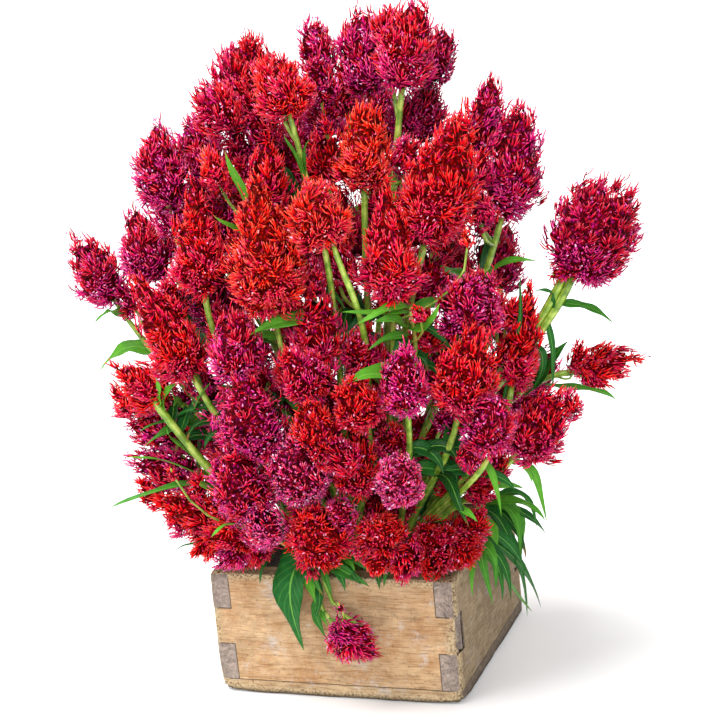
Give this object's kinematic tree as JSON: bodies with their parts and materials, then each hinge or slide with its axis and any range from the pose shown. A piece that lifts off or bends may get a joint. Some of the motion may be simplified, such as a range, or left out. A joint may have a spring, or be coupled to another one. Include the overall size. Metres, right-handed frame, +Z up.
{
  "type": "plume celosia in a wooden box",
  "caption": "Plume celosia: a dense dome of red, orange and magenta feathery plumes on green leafy stems, growing in the soil of an old finger-jointed wooden box.",
  "frame": {"origin": "middle of the underside of the box", "axes": "+Z up from the surface that the box stands on, +X to the right along the front of the box, and the front faces -Y"},
  "size_m": [0.5255, 0.3922, 0.6367],
  "materials": {
    "old_wood": "old unfinished softwood, worn, pitted and grey at the end grain",
    "soil": "dark crumbly potting soil",
    "greenery": "fresh leaves and juicy stems, satin, with a paler midrib",
    "scarlet": "scarlet bristles with salmon-red tips",
    "crimson": "crimson bristles with pink-red tips",
    "magenta": "magenta-red bristles with glinting pink beads",
    "plum": "dark plum-red bristles",
    "orange": "orange-red bristles with salmon tips",
    "pink": "pink bristles with pale pink beads"
  },
  "bodies": {
    "root": {"front_board": "old_wood", "back_board": "old_wood", "left_board": "old_wood", "right_board": "old_wood", "bottom_board": "old_wood", "soil": "soil", "plume_crown": "crimson", "plume_crown_left": "magenta", "plume_left_tall": "crimson", "plume_left_open": "scarlet", "plume_left_magenta": "magenta", "plume_left_scarlet": "scarlet", "plume_upper_red": "scarlet", "plume_big_orange": "orange", "plume_far_left": "magenta", "plume_lean_scarlet": "scarlet", "plume_flank": "magenta", "plume_heart": "pink", "plume_centre_red": "scarlet", "plume_core": "crimson", "plume_front_star": "scarlet", "plume_top_orange": "orange", "plume_centre_scarlet": "scarlet", "plume_high_orange": "orange", "plume_right_scarlet": "scarlet", "plume_right_magenta": "magenta", "plume_right_under": "plum", "plume_lone_big": "magenta", "plume_far_right": "scarlet", "plume_round_crimson": "magenta", "plume_mid_red": "scarlet", "plume_mid_magenta": "magenta", "plume_right_fire": "scarlet", "plume_right_rose": "magenta", "plume_dusk_red": "scarlet", "plume_dusk_crimson": "crimson", "plume_front_red": "scarlet", "plume_low_pink": "pink", "plume_corner": "scarlet", "plume_low_left_red": "scarlet", "plume_left_pink": "magenta", "plume_rim_left": "scarlet", "plume_hanging": "magenta", "plume_back_crown": "magenta", "plume_back_left": "scarlet", "plume_back_heart": "crimson", "plume_back_right": "scarlet", "plume_back_left_low": "magenta", "plume_back_low": "scarlet", "plume_back_right_low": "magenta", "plume_back_rim": "crimson", "plume_left_back_low": "crimson", "plume_left_back_mid": "magenta", "plant_left_front": "greenery", "plant_centre_front": "greenery", "plant_right_front": "greenery", "plant_left_back": "greenery", "plant_centre_left": "greenery", "plant_centre_right": "greenery", "plant_right_back": "greenery"}
  },
  "joints": []
}
